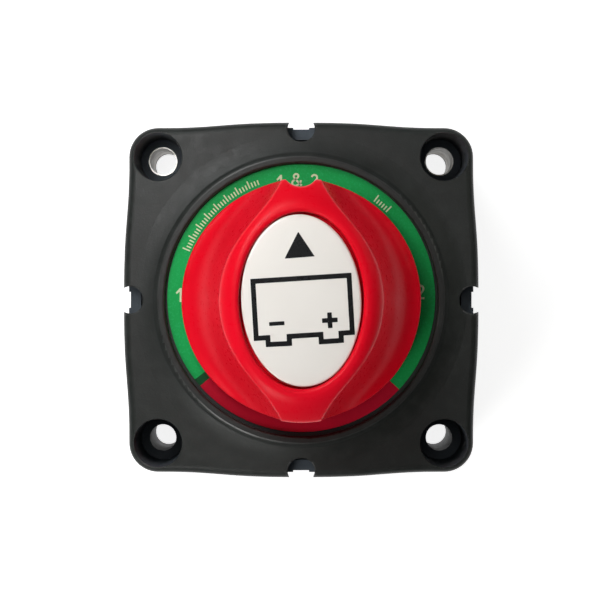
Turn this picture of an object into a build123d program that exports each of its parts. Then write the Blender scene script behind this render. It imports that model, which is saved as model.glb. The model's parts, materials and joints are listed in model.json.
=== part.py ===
from build123d import *
import os
from math import cos, sin, radians, sqrt, pi

# Marine battery selector switch: OFF / 1 / 1 & 2 / 2.
# Frame: origin at the centre of the rear mounting face, +Z along the knob's
# axis towards the user, +Y towards the "1 & 2" position, +X to the right.
# Millimetres.

# ---------------------------------------------------------------- dimensions
body_half_mid = 34.5        # half width at the middle of a side
body_half_corner = 33.45    # half width beside the corners
hole_pitch_half = 27.8      # mounting holes at (+-27.8, +-27.8)
corner_r = body_half_corner - hole_pitch_half
face_z = 46.0               # front face of the body
cover_t = 2.5               # rear cover plate
seam = 0.1                  # seam between cover and housing
wall_half = 31.5            # inner half width of the housing
plate_z = 42.4              # underside of the front plate
face_edge_r = 1.5           # rounded front edge

label_floor_z = 45.4        # floor of the label recess
label_recess_r = 26.45
label_r = 26.0
label_t = 0.25
label_hole_r = 7.0
label_dy = 0.35             # the foil sits a little high in its recess
rim_z = 47.3                # crest of the raised rim

hole_r = 2.65               # mounting hole
cbore_r = 4.7
cbore_depth = 21.0
sleeve_r_out = 2.88         # thin rolled sleeves in the two upper holes
column_r = 6.3

notch_r = 2.65              # mid-side notches
notch_depth = 3.84
groove_half = 3.05
groove_in = 31.0            # bottom of the latch groove, from the centre
groove_top_z = 42.3
tongue_half = 2.85
tongue_in = 31.25
tongue_out = 33.65
tongue_top_z = 42.0

window_c = 12.9             # cable windows
window_half = 7.5
window_top_z = 19.5

barrel_r_in = 23.4          # mechanism barrel
barrel_r_out = 25.4
barrel_z = 28.5
bore_r = 6.0                # shaft bore

base_z0, base_z1 = 24.0, 28.0
base_r = 29.0
screw_pcr = 25.9
screw_angles = (90.0, 210.0, 330.0)

stud_pcr = 16.5
stud_r = 5.0                # M10
stud_end_z = 4.5
stud_angles = {"stud_1": 135.0, "stud_2": 45.0, "stud_common": 270.0}
contact_z = 29.5            # plane of the fixed contact faces

knob_z0 = 46.2
knob_top_z = 76.5
knob_r = 23.0
knob_r_top = 22.5
knob_edge_z = 52.5          # height of the scoop floors at the flange's edge
insert_a, insert_b = 11.05, 15.85
insert_twist = 3.0          # degrees

os.makedirs("parts", exist_ok=True)


def save(shape, name):
    shape.label = name
    export_step(shape, os.path.join("parts", name + ".step"))


def cyl(r, z0, z1, x=0.0, y=0.0):
    return Pos(x, y, (z0 + z1) / 2) * Cylinder(r, z1 - z0)


def tube(r0, r1, z0, z1, x=0.0, y=0.0):
    return cyl(r1, z0, z1, x, y) - cyl(r0, z0 - 1, z1 + 1, x, y)


def box(x0, x1, y0, y1, z0, z1):
    return Pos((x0 + x1) / 2, (y0 + y1) / 2, (z0 + z1) / 2) * Box(x1 - x0, y1 - y0, z1 - z0)


def polar(r, deg):
    return r * cos(radians(deg)), r * sin(radians(deg))


def turned(shape, deg):
    return Rot(0, 0, deg) * shape


def revolve_profile(face):
    return revolve(face, Axis.Z)


def one(shape):
    # the largest solid of a boolean result
    return max(shape.solids(), key=lambda s: s.volume)


# ------------------------------------------------------------- body outline
# Each side is flat beside the corners, ramps out and is flat again in the
# middle, about 1 mm further out.
side = [(-27.8, 33.45), (-24.2, 33.47), (-21.6, 33.55), (-19.3, 33.67), (-17.0, 33.84), (-14.6, 34.03), (-12.3, 34.2),
        (-10.0, 34.33), (-7.5, 34.42), (-4.0, 34.485), (0.0, 34.5)]
side = side + [(-x, y) for x, y in reversed(side[:-1])]


def outline_face(z):
    with BuildSketch(Plane.XY.offset(z)) as sk:
        with BuildLine():
            for k in range(4):
                a = radians(-90 * k)
                pts = [(x * cos(a) - y * sin(a), x * sin(a) + y * cos(a)) for x, y in side]
                d = (cos(a), sin(a))
                Spline(*pts, tangents=[d, d])
                cx, cy = hole_pitch_half * (cos(a) - sin(a)), hole_pitch_half * (sin(a) + cos(a))
                m = (cx + corner_r * cos(a + pi / 4), cy + corner_r * sin(a + pi / 4))
                a2 = radians(-90 * (k + 1))
                x, y = side[0]
                nxt = (x * cos(a2) - y * sin(a2), x * sin(a2) + y * cos(a2))
                ThreePointArc(pts[-1], m, nxt)
        make_face()
    return sk.sketch


corners = [(hole_pitch_half, hole_pitch_half), (-hole_pitch_half, hole_pitch_half),
           (-hole_pitch_half, -hole_pitch_half), (hole_pitch_half, -hole_pitch_half)]

# ------------------------------------------------------------------ housing
housing_z0 = cover_t + seam
housing = extrude(outline_face(housing_z0), face_z - housing_z0)
top_edges = housing.edges().filter_by_position(Axis.Z, face_z - 0.01, face_z + 0.01)
housing = one(fillet(top_edges, face_edge_r))

# raised rim around the label recess, with a broad concave foot
with BuildSketch(Plane.XZ) as rim:
    with BuildLine():
        Polyline((20.0, 44.0), (32.6, 44.0), (32.6, 45.995))
        ThreePointArc((32.6, 45.995), (30.8, 46.131), (28.75, 46.62))
        Line((28.75, 46.62), (28.55, 46.72))
        ThreePointArc((28.55, 46.72), (28.0, 47.16), (27.65, rim_z))
        Line((27.65, rim_z), (26.95, rim_z))
        ThreePointArc((26.95, rim_z), (26.6, rim_z - 0.14), (label_recess_r, rim_z - 0.5))
        Polyline((label_recess_r, rim_z - 0.5), (label_recess_r, 45.0), (20.0, 45.0), (20.0, 44.0))
    make_face()
housing = one(housing + one(revolve_profile(rim.sketch)))
housing = housing - cyl(label_recess_r, label_floor_z, 50.0)

# interior: one square cavity, less the columns, the barrel, the screw bosses
# and the walls behind the latch grooves
cavity = extrude(Plane.XY.offset(housing_z0 - 1) * RectangleRounded(2 * wall_half, 2 * wall_half, 3.5),
                 plate_z - housing_z0 + 1)
for x, y in corners:
    cavity = cavity - cyl(column_r, 0, 50, x, y)
cavity = cavity - tube(barrel_r_in, barrel_r_out, barrel_z, 50)
for a in screw_angles:
    x, y = polar(screw_pcr, a)
    cavity = cavity - cyl(3.0, barrel_z, 50, x, y)
for k in range(4):
    cavity = cavity - turned(box(-4.4, 4.4, 29.6, 40, 0, 50), 90 * k)
housing = housing - cavity

# shaft bore, holes, counterbores
housing = housing - cyl(bore_r, 40, 50)
for x, y in corners:
    with BuildSketch(Plane.XZ) as cb:
        with BuildLine():
            Polyline((0, face_z - cbore_depth), (cbore_r - 0.3, face_z - cbore_depth), (cbore_r - 0.04, face_z - 0.14),
                     (cbore_r + 0.12, face_z + 0.02), (cbore_r + 0.12, face_z + 2), (0, face_z + 2), (0, face_z - cbore_depth))
        make_face()
    housing = housing - Pos(x, y, 0) * revolve_profile(cb.sketch)
    r = sleeve_r_out if y > 0 else hole_r
    housing = housing - cyl(r, 0, face_z - cbore_depth + 1, x, y)
for a in screw_angles:
    x, y = polar(screw_pcr, a)
    housing = housing - cyl(1.72, barrel_z - 1, 40.0, x, y)

# mid-side notches in the face and the latch grooves below them
notch_y = body_half_mid - notch_depth + notch_r
for k in range(4):
    n = cyl(notch_r, groove_top_z - 0.3, 50, 0, notch_y)
    n = n + Pos(0, notch_y, face_z - 0.13) * Cone(notch_r - 0.05, notch_r + 0.31, 0.36)
    g = box(-groove_half, groove_half, groove_in, 40, 0, groove_top_z)
    housing = housing - turned(n + g, 90 * k)

# cable windows, open to the rear: one each side for studs 1 and 2, two below
# for the common cable
win = box(-window_half, window_half, 30.0, 40.0, 0, window_top_z - window_half) + \
    Pos(0, 35, window_top_z - window_half) * (Rot(90, 0, 0) * Cylinder(window_half, 10))
left_window = turned(Pos(window_c, 0, 0) * win, 90)
right_window = turned(Pos(-window_c, 0, 0) * win, -90)
lower_a = turned(Pos(window_c, 0, 0) * win, 180)
lower_b = turned(Pos(-window_c, 0, 0) * win, 180)
housing = housing - left_window - right_window - lower_a - lower_b
housing = one(housing)
save(housing, "housing")

# --------------------------------------------------------------- rear cover
cover = extrude(outline_face(0.0), cover_t)
cover = chamfer(cover.edges().filter_by_position(Axis.Z, -0.01, 0.01), 0.5)
cover = cover - cyl(22.0, -1, 0.4)
for x, y in corners:
    cover = cover - cyl(hole_r, -1, 10, x, y)
for k in range(4):
    t = box(-tongue_half, tongue_half, tongue_in, tongue_out, cover_t - 0.5, tongue_top_z)
    t = t - box(-1.55, 1.55, tongue_out - 0.35, 40, cover_t, 60)
    cover = cover - turned(box(-tongue_half - 0.2, tongue_half + 0.2, tongue_out, 40, -1, 10), 90 * k)
    cover = cover + turned(t, 90 * k)
# locating lips inside the plain stretches of wall
lip_out = wall_half - 0.35
for x0, x1, deg in ((6.0, 19.5, 0), (-19.5, -6.0, 0), (6.0, 19.5, -90), (-19.5, -6.0, 90)):
    cover = cover + turned(box(x0, x1, lip_out - 1.5, lip_out, cover_t - 0.5, 6.0), deg)
# shallow stiffening ribs inside
cover = cover + tube(19.0, 20.2, cover_t - 0.5, cover_t + 1.0)
for k in range(4):
    cover = cover + turned(box(-0.6, 0.6, 4.0, 19.5, cover_t - 0.5, cover_t + 1.0), 90 * k + 45)
cover = one(cover)
save(cover, "rear_cover")

# ----------------------------------------------------------- corner sleeves
sleeves = [tube(hole_r, sleeve_r_out, housing_z0 + 0.1, face_z - cbore_depth, x, y) for x, y in corners if y > 0]
save(Compound(children=[one(s) for s in sleeves]), "corner_sleeves")

# -------------------------------------------------------------------- label
label = Pos(0, label_dy, 0) * tube(label_hole_r, label_r, label_floor_z, label_floor_z + label_t)
save(one(label), "dial_label")

# ------------------------------------------------------------- contact base
base = cyl(base_r, base_z0, base_z1)
base = base + cyl(6.0, base_z0 - 1.5, base_z0 + 1)                       # pivot boss
base = base - cyl(3.05, base_z0, base_z1 + 1)                            # pivot hole
for name, a in stud_angles.items():
    x, y = polar(stud_pcr, a)
    base = base + cyl(8.0, base_z0 - 1.5, base_z0 + 1, x, y)
for name, a in stud_angles.items():
    x, y = polar(stud_pcr, a)
    base = base - cyl(stud_r + 0.05, 0, base_z1 + 1, x, y)
    base = base - Pos(x, y, 0) * turned(box(-5.55, 5.55, -5.55, 5.55, base_z0 + 2.0, base_z1 + 1), a)
for a in screw_angles:
    x, y = polar(screw_pcr, a)
    base = base - cyl(1.8, 0, 40, x, y)
for k in range(4):
    base = base - turned(box(-4.7, 4.7, 28.9, 40, 0, 40), 90 * k)
base = one(base)
save(base, "contact_base")

# -------------------------------------------------------------- base gasket
gasket = tube(barrel_r_in + 0.2, barrel_r_out - 0.2, base_z1, barrel_z)
for a in screw_angles:
    x, y = polar(screw_pcr, a)
    gasket = gasket + cyl(2.9, base_z1, barrel_z, x, y)
for a in screw_angles:
    x, y = polar(screw_pcr, a)
    gasket = gasket - cyl(1.9, 0, 40, x, y)
save(one(gasket), "base_gasket")

# -------------------------------------------------------------- base screws
def pan_screw(r, head_r, head_h, length, drive_r, tip):
    # head at z > 0, shank below; cross recess in the head
    with BuildSketch(Plane.XZ) as s:
        with BuildLine():
            Polyline((0, -length), (r - tip, -length), (r, -length + 2 * tip), (r, 0), (head_r, 0), (head_r, head_h * 0.45))
            ThreePointArc((head_r, head_h * 0.45), (head_r * 0.8, head_h * 0.86), (head_r * 0.42, head_h))
            Polyline((head_r * 0.42, head_h), (0, head_h), (0, -length))
        make_face()
    s = revolve_profile(s.sketch)
    w = drive_r * 0.32
    cross = box(-drive_r, drive_r, -w, w, head_h * 0.4, head_h + 1) + box(-w, w, -drive_r, drive_r, head_h * 0.4, head_h + 1)
    return s - cross


screws = []
for a in screw_angles:
    x, y = polar(screw_pcr, a)
    s = Rot(180, 0, 0) * pan_screw(1.7, 2.9, 2.2, 15.0, 1.7, 0.5)
    screws.append(one(Pos(x, y, base_z0) * turned(s, 20 + a)))
save(Compound(children=screws), "base_screws")

# -------------------------------------------------------------------- studs
def stud_shaft(x, y, z1):
    return cyl(stud_r, stud_end_z + 1.0, z1, x, y) + Pos(x, y, stud_end_z + 0.5) * Cone(stud_r - 1.0, stud_r, 1.0)


for name, a in stud_angles.items():
    x, y = polar(stud_pcr, a)
    s = stud_shaft(x, y, base_z0 + 2.5)
    if name == "stud_common":
        s = s + Pos(x, y, 0) * turned(box(-5.5, 5.5, -5.5, 5.5, base_z0 + 2.0, base_z1), a)
        s = s + cyl(4.0, base_z1 - 1, contact_z, x, y)
    else:
        s = s + Pos(x, y, 0) * turned(box(-5.5, 5.5, -5.5, 5.5, base_z0 + 2.0, contact_z), a)
    save(one(s), name)

# terminal hardware, as delivered: flat washer, spring washer, nut
wash_z = base_z0 - 1.5
flat, springs, nuts = [], [], []
for name, a in stud_angles.items():
    x, y = polar(stud_pcr, a)
    flat.append(one(tube(stud_r + 0.25, 10.0, wash_z - 2.0, wash_z, x, y)))
    sw = tube(stud_r + 0.15, 8.8, wash_z - 4.4, wash_z - 2.0, x, y)
    sw = sw - Pos(x, y, 0) * turned(Rot(0, 0, 0) * (Pos(7.5, 0, wash_z - 3.2) * (Rot(25, 0, 0) * Box(6, 0.8, 8))), a + 20)
    springs.append(one(sw))
    hexa = extrude(Plane.XY.offset(wash_z - 12.4) * RegularPolygon(8.5, 6, major_radius=False), 8.0)
    cone = Pos(0, 0, wash_z - 8.4) * (Cylinder(9.75, 8.0))
    cone = chamfer(cone.edges().filter_by_position(Axis.Z, wash_z - 12.41, wash_z - 12.39), 0.45, 1.1)
    hexa = hexa & cone
    hexa = Pos(x, y, 0) * turned(hexa, a + 11) - cyl(stud_r + 0.02, 0, 40, x, y)
    hexa = hexa - Pos(x, y, wash_z - 12.4 + 0.3) * Cone(stud_r + 0.7, stud_r, 0.7)
    nuts.append(one(hexa))
save(Compound(children=flat), "stud_flat_washers")
save(Compound(children=springs), "stud_spring_washers")
save(Compound(children=nuts), "stud_nuts")

# --------------------------------------------------------------- common bus
bus = cyl(8.8, base_z1, contact_z) + box(-4.8, 4.8, -stud_pcr, 0, base_z1, contact_z) + \
    cyl(6.0, base_z1, contact_z, 0, -stud_pcr)
bus = bus - cyl(6.6, 0, 60) - cyl(4.05, 0, 60, 0, -stud_pcr)
save(one(bus), "common_bus")

# ----------------------------------------------------------- moving contact
mc_z0, mc_z1 = contact_z + 0.1, contact_z + 2.1
with BuildSketch(Plane.XY.offset(mc_z0)) as sec:
    with BuildLine():
        p0, p1, pm = polar(21.5, 32), polar(21.5, 148), polar(21.5, 90)
        q0, q1, qm = polar(8.0, 32), polar(8.0, 148), polar(8.0, 90)
        ThreePointArc(p0, pm, p1)
        Line(p1, q1)
        ThreePointArc(q1, qm, q0)
        Line(q0, p0)
    make_face()
moving = extrude(sec.sketch, mc_z1 - mc_z0) + cyl(9.6, mc_z0, mc_z1)
moving = moving - box(-4.35, 4.35, -4.35, 4.35, 0, 60)
save(one(moving), "moving_contact")

# ----------------------------------------------------------- contact spring
carrier_z0, carrier_z1 = 35.0, 38.4
wire = 0.6
spring_z0, spring_z1 = mc_z1 + 0.05 + wire, carrier_z0 + 0.6 - wire - 0.05
with BuildPart() as cs:
    with BuildLine() as hl:
        helix = Helix(pitch=(spring_z1 - spring_z0) / 1.75, height=spring_z1 - spring_z0, radius=8.0,
                      center=(0, 0, spring_z0))
    with BuildSketch(Plane(origin=helix @ 0, z_dir=helix % 0)):
        Circle(wire)
    sweep(path=hl.line, is_frenet=True)
save(one(cs.part), "contact_spring")

# -------------------------------------------------------------------- rotor
shaft_r = 5.94
rotor = cyl(3.0, base_z0 + 1.0, 30.0)                                   # pivot
rotor = rotor + box(-4.2, 4.2, -4.2, 4.2, base_z1 + 0.6, carrier_z0 + 0.5)
rotor = rotor + cyl(21.5, carrier_z0, carrier_z1)
rotor = rotor - tube(6.6, 9.4, carrier_z0 - 1, carrier_z0 + 0.6)         # spring seat
rotor = rotor + cyl(shaft_r, carrier_z1 - 0.5, 46.35)
rotor = rotor + box(-7.2, 7.2, -0.9, 0.9, carrier_z1 - 0.5, 41.6)        # keys
rotor = rotor - tube(4.1, 7.0, 43.2, 45.15)                              # seal groove
rotor = rotor + box(-4.0, 4.0, -4.0, 4.0, 46.0, 61.3)                    # square drive
rotor = rotor - cyl(2.52, 49.0, 70)
for k in range(6):                                                       # lightening pockets
    x, y = polar(15.6, 60 * k + 30)
    rotor = rotor - cyl(3.4, carrier_z0 - 1, carrier_z0 + 1.8, x, y)
rotor = one(rotor)
save(rotor, "rotor")

# -------------------------------------------------------------- index wheel
wheel_r = 18.5
wheel = cyl(wheel_r, carrier_z1 + 0.1, 41.7) - cyl(5.99, 0, 60) - box(-7.3, 7.3, -1.0, 1.0, 0, 60)
for k in range(4):
    x, y = polar(20.0, 90 * k)
    wheel = wheel - cyl(3.0, 0, 60, x, y)
    x, y = polar(12.6, 90 * k + 45)
    wheel = wheel - cyl(3.2, 0, 60, x, y)
save(one(wheel), "index_wheel")

# ----------------------------------------------------------- detent springs
leaf = []
for deg in (0, 180):
    with BuildSketch(Plane.XY.offset(38.9)) as lf:
        with BuildLine() as ll:
            a = (17.85, 13.95)
            b = (19.4, 2.5)
            c = (17.4, 0.0)
            Line(a, b)
            ThreePointArc(b, c, (b[0], -b[1]))
            Line((b[0], -b[1]), (a[0], -a[1]))
        trace(line_width=0.4)
    s = one(extrude(lf.sketch, 2.6))
    leaf.append(turned(s, deg))
save(Compound(children=leaf), "detent_springs")

# ------------------------------------------------------------ thrust washer
save(one(tube(6.05, 11.0, 41.75, 42.25)), "thrust_washer")

# --------------------------------------------------------------- shaft seal
save(one(Pos(0, 0, 44.17) * Torus(5.05, 0.9)), "shaft_seal")

# --------------------------------------------------------------------- knob
# A round flange with an eye-shaped grip: a domed drum, cut by two concave
# finger scoops whose upper edges are the grip's ridges.
ridge = [(0.0, 15.24), (2.8, 15.0), (5.6, 14.4), (8.2, 13.38), (11.15, 11.71), (13.94, 9.62), (16.36, 7.6), (18.6, 5.85),
         (20.1, 4.9), (21.4, 4.15), (22.5, 3.6), (24.5, 2.8)]
scoop_w = [7.8, 7.85, 7.95, 8.1, 8.4, 8.6, 8.5, 8.1, 7.7, 7.4, 7.2, 7.0]
scoop_z1 = 71.0


def scoop_section(y, xr, w):
    with BuildSketch(Plane(origin=(0, y, 0), x_dir=(1, 0, 0), z_dir=(0, -1, 0))) as s:
        with BuildLine():
            pts = []
            for i in range(7):
                t = (pi / 2) * i / 6
                pts.append((xr + w * (1 - cos(t)), scoop_z1 - (scoop_z1 - knob_edge_z) * sin(t)))
            Line((xr, 80.0), pts[0])
            Spline(*pts, tangents=[(0, -1), (1, 0)])
            Polyline(pts[-1], (30.0, knob_edge_z), (30.0, 80.0), (xr, 80.0))
        make_face()
    return s.sketch


stations = [(-y, x, w) for (y, x), w in zip(reversed(ridge[1:]), reversed(scoop_w[1:]))] + \
           [(y, x, w) for (y, x), w in zip(ridge, scoop_w)]
scoop = loft([scoop_section(y, x, w) for y, x, w in stations])

drum = cyl(knob_r, knob_z0, 51.0) + Pos(0, 0, (51.0 + 77.0) / 2) * Cone(knob_r, knob_r_top, 26.0)
dome_sections = [(12.3, 17.0, knob_top_z), (13.6, 18.6, 76.0), (15.0, 20.6, 74.6), (16.2, 23.0, 72.4), (17.0, 25.5, 69.5),
                 (17.4, 28.0, 66.0)]
dome = loft([Plane.XY.offset(z) * Ellipse(a, b) for a, b, z in dome_sections])
dome = dome + cyl(30.0, 40.0, 66.0)
knob = drum & dome
knob = one(knob - scoop - mirror(scoop, Plane.YZ))
ridges = [e for e in knob.edges() if e.bounding_box().min.Z > 72 and 50 < e.length < 60 and abs((e @ 0.5).X) > 10]
knob = one(fillet(ridges, 0.6))
knob = one(fillet([e for e in knob.edges() if e.bounding_box().max.Z < 46.3 and e.length > 100], 0.4))
# indexing notch in the upper nose
knob = knob - cyl(3.3, 40, 80, -0.3, 24.75)
# recess for the insert, with a chamfered lip
recess_z = 73.2
knob = knob - extrude(Plane.XY.offset(recess_z) * Ellipse(insert_a + 0.4, insert_b + 0.4), 10)
knob = knob - loft([Plane.XY.offset(knob_top_z - 0.5) * Ellipse(insert_a + 0.4, insert_b + 0.4),
                    Plane.XY.offset(knob_top_z + 0.2) * Ellipse(insert_a + 1.1, insert_b + 1.1)])
# hollow underside: shallow ring in the flange, deep core inside the grip
hub_r = 8.0
under = cyl(20.6, 40, 49.6)
core = extrude(Plane.XY.offset(40) * Ellipse(11.6, 17.6), 70.4 - 40)
knob = knob - (under + core - cyl(hub_r, 30, 80))
knob = knob + cyl(hub_r, 62.0, 71.0)
knob = knob - cyl(30, 0, knob_z0)
# screw well, drive socket and insert leg slots
knob = knob - cyl(6.2, 63.0, 80)
knob = knob - cyl(2.75, 40, 80)
knob = knob - box(-4.07, 4.07, -4.07, 4.07, 40, 61.5)
knob = knob - cyl(hub_r + 1, 40, 46.5)
for sgn in (-1, 1):
    knob = knob - turned(box(-2.3, 2.3, sgn * 11.2 - 1.0, sgn * 11.2 + 1.0, 60, 80), insert_twist)
knob = one(knob)
save(knob, "knob")

# -------------------------------------------------------------- knob insert
insert = extrude(Plane.XY.offset(recess_z + 0.05) * Ellipse(insert_a, insert_b), 2.5)
insert = insert + loft([Plane.XY.offset(recess_z + 2.55) * Ellipse(insert_a, insert_b),
                        Plane.XY.offset(recess_z + 2.8) * Ellipse(insert_a - 0.35, insert_b - 0.35)])
insert = insert - cyl(6.0, 0, recess_z + 1.0)
for sgn in (-1, 1):
    insert = insert + box(-2.0, 2.0, sgn * 11.2 - 0.7, sgn * 11.2 + 0.7, 68.2, recess_z + 0.5)
    insert = insert + box(-2.0, 2.0, min(sgn * 11.4, sgn * 12.5), max(sgn * 11.4, sgn * 12.5), 68.2, 69.8)
insert = turned(one(insert), insert_twist)
save(one(insert), "knob_insert")

# ------------------------------------------------- knob screw and its washer
save(one(tube(2.7, 5.4, 63.0, 64.0)), "knob_washer")
save(one(Pos(0, 0, 64.0) * pan_screw(2.5, 4.7, 3.2, 13.0, 2.6, 0.5)), "knob_screw")
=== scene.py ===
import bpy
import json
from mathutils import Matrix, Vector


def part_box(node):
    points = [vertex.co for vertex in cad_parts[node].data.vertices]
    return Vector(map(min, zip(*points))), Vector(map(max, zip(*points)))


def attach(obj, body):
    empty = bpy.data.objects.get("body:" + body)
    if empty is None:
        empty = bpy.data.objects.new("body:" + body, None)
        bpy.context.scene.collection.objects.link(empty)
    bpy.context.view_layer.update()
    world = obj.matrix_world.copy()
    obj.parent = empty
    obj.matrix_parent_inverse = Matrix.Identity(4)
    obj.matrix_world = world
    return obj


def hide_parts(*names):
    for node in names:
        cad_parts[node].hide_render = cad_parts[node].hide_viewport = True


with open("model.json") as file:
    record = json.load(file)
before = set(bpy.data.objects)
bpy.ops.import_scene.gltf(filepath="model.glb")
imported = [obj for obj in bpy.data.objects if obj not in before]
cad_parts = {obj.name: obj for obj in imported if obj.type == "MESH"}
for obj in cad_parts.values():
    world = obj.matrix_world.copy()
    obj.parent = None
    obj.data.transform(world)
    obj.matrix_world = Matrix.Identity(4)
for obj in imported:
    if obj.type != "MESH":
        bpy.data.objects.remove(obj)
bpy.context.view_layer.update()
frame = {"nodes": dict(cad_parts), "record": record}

import json
import math
import bpy
import bmesh
import numpy as np
from mathutils import Vector

NODES = frame["nodes"]
MM = 0.001
scene = bpy.context.scene


# ------------------------------------------------------------- mesh helpers
def new_object(name, verts, faces, merge=1e-6, sharp_deg=38.0, weighted=True):
    """A mesh object from points in millimetres: doubles merged, empty faces dropped, edges over sharp_deg kept sharp."""
    me = bpy.data.meshes.new(name)
    me.from_pydata([tuple(v) for v in (np.asarray(verts, float) * MM)], [], [tuple(int(i) for i in f) for f in faces])
    bm = bmesh.new()
    bm.from_mesh(me)
    bmesh.ops.remove_doubles(bm, verts=bm.verts[:], dist=merge)
    bmesh.ops.dissolve_degenerate(bm, edges=bm.edges[:], dist=merge)
    loose = [v for v in bm.verts if not v.link_faces]
    if loose:
        bmesh.ops.delete(bm, geom=loose, context="VERTS")
    bmesh.ops.recalc_face_normals(bm, faces=bm.faces[:])
    finish_shading(bm, sharp_deg)
    bm.to_mesh(me)
    bm.free()
    ob = bpy.data.objects.new(name, me)
    scene.collection.objects.link(ob)
    if weighted:
        weight_normals(ob)
    return ob


def finish_shading(bm, sharp_deg):
    for f in bm.faces:
        f.smooth = True
    lim = math.radians(sharp_deg)
    for e in bm.edges:
        if len(e.link_faces) == 2:
            e.smooth = e.calc_face_angle(0.0) < lim
        else:
            e.smooth = False


def weight_normals(ob):
    mod = ob.modifiers.new("wn", "WEIGHTED_NORMAL")
    mod.keep_sharp = True
    mod.weight = 60
    bake_modifiers(ob)


def bake_modifiers(ob):
    dg = bpy.context.evaluated_depsgraph_get()
    dg.update()
    me = bpy.data.meshes.new_from_object(ob.evaluated_get(dg), preserve_all_data_layers=True, depsgraph=dg)
    old = ob.data
    me.materials.clear()
    for m in old.materials:
        me.materials.append(m)
    ob.modifiers.clear()
    ob.data = me
    me.name = ob.name
    bpy.data.meshes.remove(old)


def ring_faces(nt, npr, close_profile):
    """Quads of a grid of nt columns round the axis and npr points along the profile."""
    i = np.arange(nt)
    last = npr if close_profile else npr - 1
    j = np.arange(last)
    ii, jj = np.meshgrid(i, j, indexing="ij")
    i2, j2 = (ii + 1) % nt, (jj + 1) % npr
    return np.stack([ii * npr + jj, i2 * npr + jj, i2 * npr + j2, ii * npr + j2], -1).reshape(-1, 4)


def bezier2(a, b, c, n):
    """Points of a quadratic curve from a to c with its corner at b; a, b, c are (..., 2) arrays. Ends included."""
    t = np.linspace(0, 1, n)
    a, b, c = (np.asarray(p, float)[..., None, :] for p in (a, b, c))
    t = t[:, None]
    return (1 - t) ** 2 * a + 2 * t * (1 - t) * b + t ** 2 * c


def hermite_table(xs, ys):
    """A smooth function through a table that keeps its rises and falls."""
    xs, ys = np.asarray(xs, float), np.asarray(ys, float)
    h = np.diff(xs)
    d = np.diff(ys) / h
    m = np.zeros_like(ys)
    for i in range(1, len(xs) - 1):
        if d[i - 1] * d[i] > 0:
            w1, w2 = 2 * h[i] + h[i - 1], h[i] + 2 * h[i - 1]
            m[i] = (w1 + w2) / (w1 / d[i - 1] + w2 / d[i])
    m[0], m[-1] = d[0], d[-1]

    def f(x):
        x = np.clip(np.asarray(x, float), xs[0], xs[-1])
        k = np.clip(np.searchsorted(xs, x, side="right") - 1, 0, len(xs) - 2)
        t = (x - xs[k]) / h[k]
        return ((2 * t ** 3 - 3 * t ** 2 + 1) * ys[k] + (t ** 3 - 2 * t ** 2 + t) * h[k] * m[k]
                + (-2 * t ** 3 + 3 * t ** 2) * ys[k + 1] + (t ** 3 - t ** 2) * h[k] * m[k + 1])
    return f


def bisect(g, lo, hi, n=44):
    """The root of an increasing g between the arrays lo and hi."""
    lo, hi = np.array(lo, float), np.array(hi, float)
    for _ in range(n):
        mid = 0.5 * (lo + hi)
        up = g(mid) > 0
        hi = np.where(up, mid, hi)
        lo = np.where(up, lo, mid)
    return 0.5 * (lo + hi)


def ellipse_r(a, b, th, turn=0.0):
    t = th - turn
    return a * b / np.sqrt((b * np.cos(t)) ** 2 + (a * np.sin(t)) ** 2)


def square_r(half, th, corner=0.4):
    c, s = np.abs(np.cos(th)), np.abs(np.sin(th))
    return (c ** 14 + s ** 14) ** (-1 / 14.0) * half


# --------------------------------------------------------------- the knob
KZ0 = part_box("knob")[0].z / MM
KZ1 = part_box("knob")[1].z / MM
KR, KR_TOP = 23.0, 22.5
FLOOR_Z, SCOOP_Z1 = 52.5, 71.0
NOTCH_X, NOTCH_Y, NOTCH_R = -0.1, 24.45, 3.45

ridge_of = hermite_table([0, 2.8, 5.6, 8.2, 11.15, 13.94, 16.36, 18.6, 20.1, 21.4, 22.5, 24.5, 27],
                         [15.24, 15.0, 14.4, 13.38, 11.71, 9.62, 7.6, 5.85, 4.9, 4.15, 3.6, 2.8, 2.0])
width_of = hermite_table([0, 2.8, 5.6, 8.2, 11.15, 13.94, 16.36, 18.6, 20.1, 21.4, 22.5, 24.5],
                         [7.8, 7.85, 7.95, 8.1, 8.4, 8.6, 8.5, 8.1, 7.7, 7.4, 7.2, 7.0])
S_A = hermite_table([0, 1, 2, 3, 4, 5], [12.3, 13.6, 15.0, 16.2, 17.0, 17.4])
S_B = hermite_table([0, 1, 2, 3, 4, 5], [17.0, 18.6, 20.6, 23.0, 25.5, 28.0])
S_Z = hermite_table([0, 0.35, 1, 2, 3, 4, 5], [KZ1, KZ1 - 0.07, KZ1 - 0.5, KZ1 - 1.9, KZ1 - 4.1, KZ1 - 7.0, KZ1 - 10.5])


def dome_z(x, y):
    s = bisect(lambda s: -((x / S_A(s)) ** 2 + (y / S_B(s)) ** 2 - 1), np.zeros_like(x), np.full_like(x, 5.0), 34)
    return np.where((x / 12.3) ** 2 + (y / 17.0) ** 2 <= 1, KZ1, S_Z(s))


def cone_r(z):
    return np.where(z < 51, KR, KR - (KR - KR_TOP) * (z - 51) / 26.0)


def notch_r(th):
    """Where a ray from the axis meets the indexing notch; far away where it doesn't."""
    c = NOTCH_X * np.cos(th) + NOTCH_Y * np.sin(th)
    d2 = c * c - (NOTCH_X ** 2 + NOTCH_Y ** 2 - NOTCH_R ** 2)
    return np.where((d2 > 0) & (c > 0), c - np.sqrt(np.maximum(d2, 0)), 99.0)


def wall_r(th, z, k=0.34):
    a, b = cone_r(z), notch_r(th)
    h = np.clip(0.5 + 0.5 * (b - a) / k, 0, 1)
    return b * (1 - h) + a * h - k * h * (1 - h)


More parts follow.
